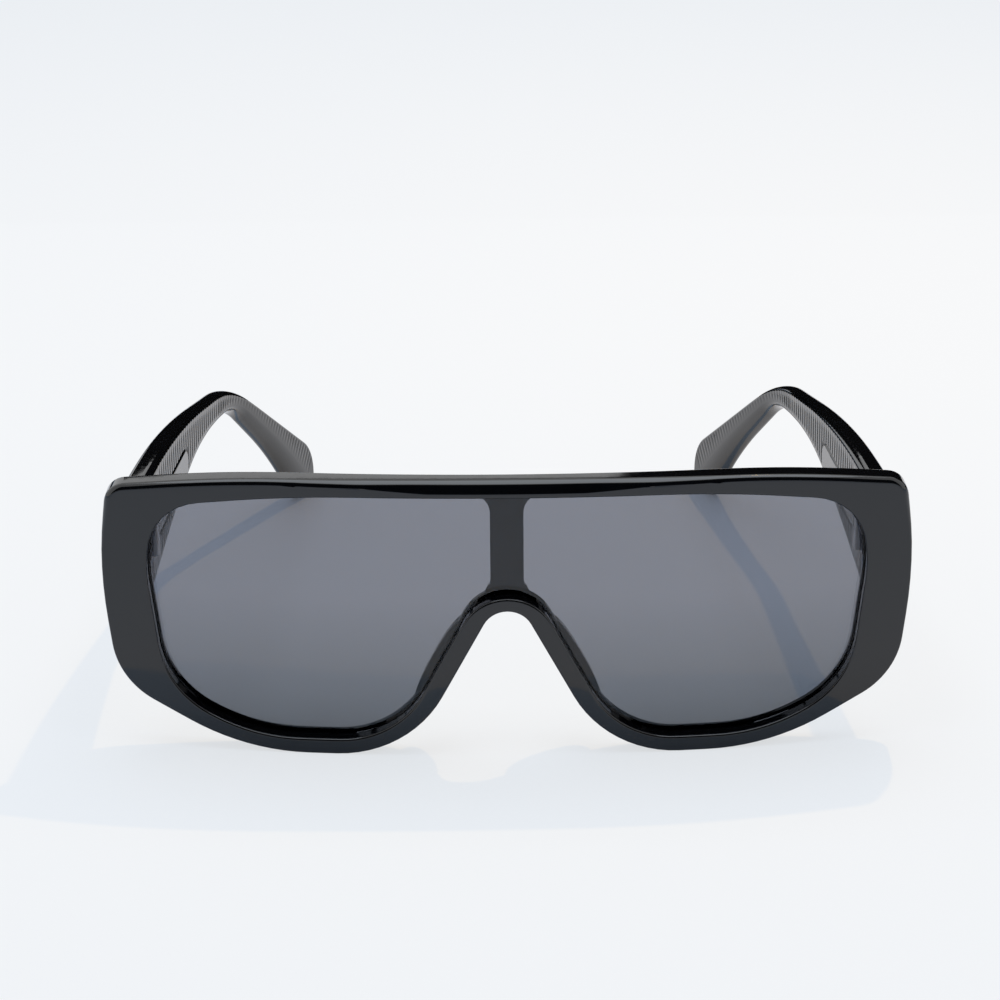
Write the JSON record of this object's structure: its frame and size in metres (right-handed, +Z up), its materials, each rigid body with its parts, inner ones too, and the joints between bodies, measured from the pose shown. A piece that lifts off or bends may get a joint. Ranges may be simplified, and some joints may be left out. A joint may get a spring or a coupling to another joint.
{
  "type": "shield sunglasses",
  "caption": "Shield sunglasses: a gently wrapped black front with a bevelled brow holds one smoke lens, and fluted temples with hooked tips fold in on barrel hinges.",
  "frame": {"origin": "on the table, midway across the front and midway between the front's face and the temple tips", "axes": "+X across the front to the right as the picture shows it, +Y back along the temples, +Z up"},
  "size_m": [0.1468, 0.136, 0.0535],
  "materials": {
    "frame_black": "polished",
    "lens_smoke": "clear tinted",
    "pad_black": "polished",
    "temple_black": "polished",
    "hinge_steel": "satin",
    "screw_steel": "satin"
  },
  "bodies": {
    "front": {"front_frame": "frame_black", "shield_lens": "lens_smoke", "nose_pad_left": "pad_black", "nose_pad_right": "pad_black", "front_hinge_left": "hinge_steel", "front_hinge_right": "hinge_steel", "hinge_screw_left": "screw_steel", "hinge_screw_right": "screw_steel"},
    "left_temple": {"temple_left": "temple_black", "temple_hinge_left": "hinge_steel"},
    "right_temple": {"temple_right": "temple_black", "temple_hinge_right": "hinge_steel"}
  },
  "joints": [
    {"name": "left_temple_fold", "type": "hinge", "parent": "front", "child": "left_temple", "pos_m": [-0.06446, -0.05506, 0.039], "axis": [0, 0, -1], "range_deg": [0, 78]},
    {"name": "right_temple_fold", "type": "hinge", "parent": "front", "child": "right_temple", "pos_m": [0.06446, -0.05506, 0.039], "axis": [0, 0, 1], "range_deg": [0, 66]}
  ]
}
